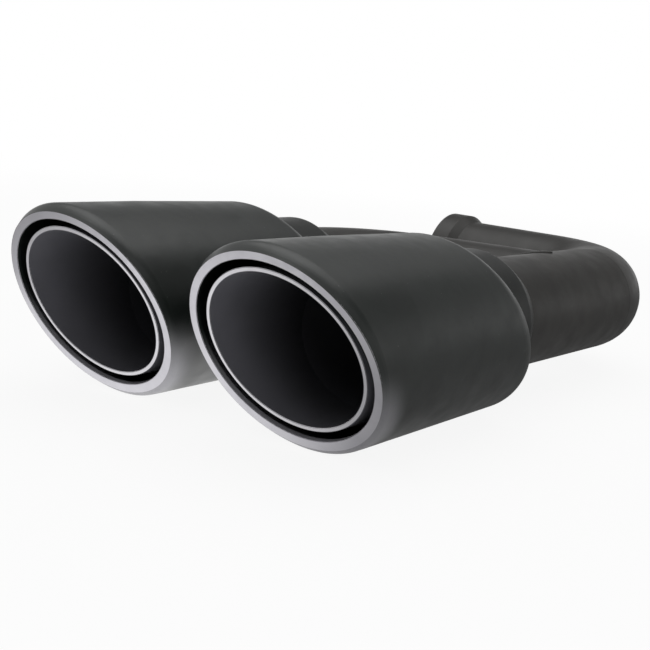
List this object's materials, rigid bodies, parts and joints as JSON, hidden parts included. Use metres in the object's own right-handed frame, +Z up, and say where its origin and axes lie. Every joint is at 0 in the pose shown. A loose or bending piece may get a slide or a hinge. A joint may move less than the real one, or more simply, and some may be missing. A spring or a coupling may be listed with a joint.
{
  "type": "exhaust tip",
  "caption": "Twin tailpipe tip with slash-cut double-wall barrels on bent pipes that join into a side-facing slip-on inlet, in satin black with bare bright rims.",
  "frame": {"origin": "centre of the inlet socket's open end, on the pipes' common axis plane", "axes": "+Y runs from the mouths to the rear along the barrels, +Z is up as worn on the car, and the inlet faces -X"},
  "size_m": [0.202, 0.3776, 0.0886],
  "materials": {
    "shell": "satin",
    "liner": "satin",
    "pipe": "satin"
  },
  "bodies": {
    "root": {"right_shell": "shell", "left_shell": "shell", "right_liner": "liner", "left_liner": "liner", "right_collar": "pipe", "left_collar": "pipe", "main_pipe": "pipe", "main_elbow": "pipe", "inlet_pipe": "pipe", "left_pipe": "pipe", "branch_elbow": "pipe", "branch_pipe": "pipe"}
  },
  "joints": []
}
